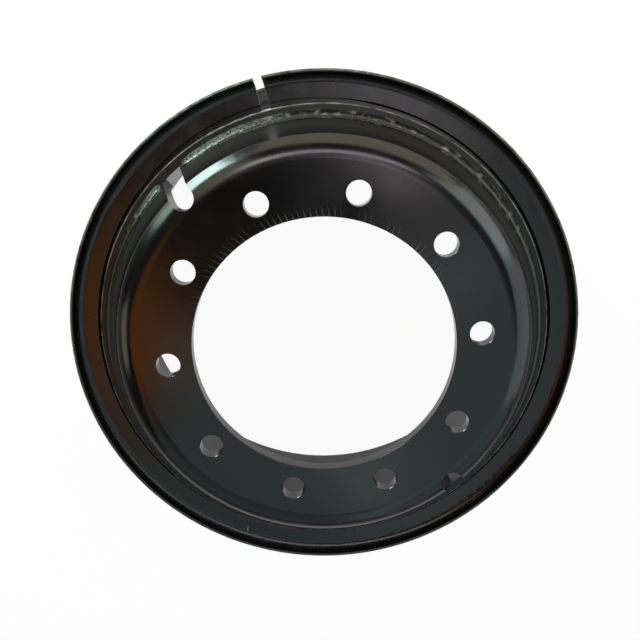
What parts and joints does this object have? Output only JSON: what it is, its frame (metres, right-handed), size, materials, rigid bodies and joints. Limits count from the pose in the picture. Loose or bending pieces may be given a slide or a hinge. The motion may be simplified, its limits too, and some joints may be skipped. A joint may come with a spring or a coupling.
{
  "type": "truck wheel rim",
  "caption": "Black-painted steel truck wheel with a gutter rim base, a split side ring and a bulged disc with hub bore, stud holes and valve notches; takes a tube-type tyre.",
  "frame": {"origin": "on the wheel axis, in the plane of the fixed flange's lip that the wheel lies on", "axes": "+Z along the wheel axis towards the side ring and the bulged disc face, +Y towards the top of the picture"},
  "size_m": [0.568, 0.568, 0.2585],
  "materials": {
    "rim_paint": "semi-gloss black stoving paint on rolled steel",
    "ring_paint": "semi-gloss black stoving paint on rolled steel",
    "disc_paint": "semi-gloss black stoving paint on pressed steel plate",
    "weld_paint": "thin black paint over rough weld metal"
  },
  "bodies": {
    "root": {"rim_base": "rim_paint", "side_ring": "ring_paint", "wheel_disc": "disc_paint", "disc_weld_upper": "weld_paint", "disc_weld_lower": "weld_paint"}
  },
  "joints": []
}
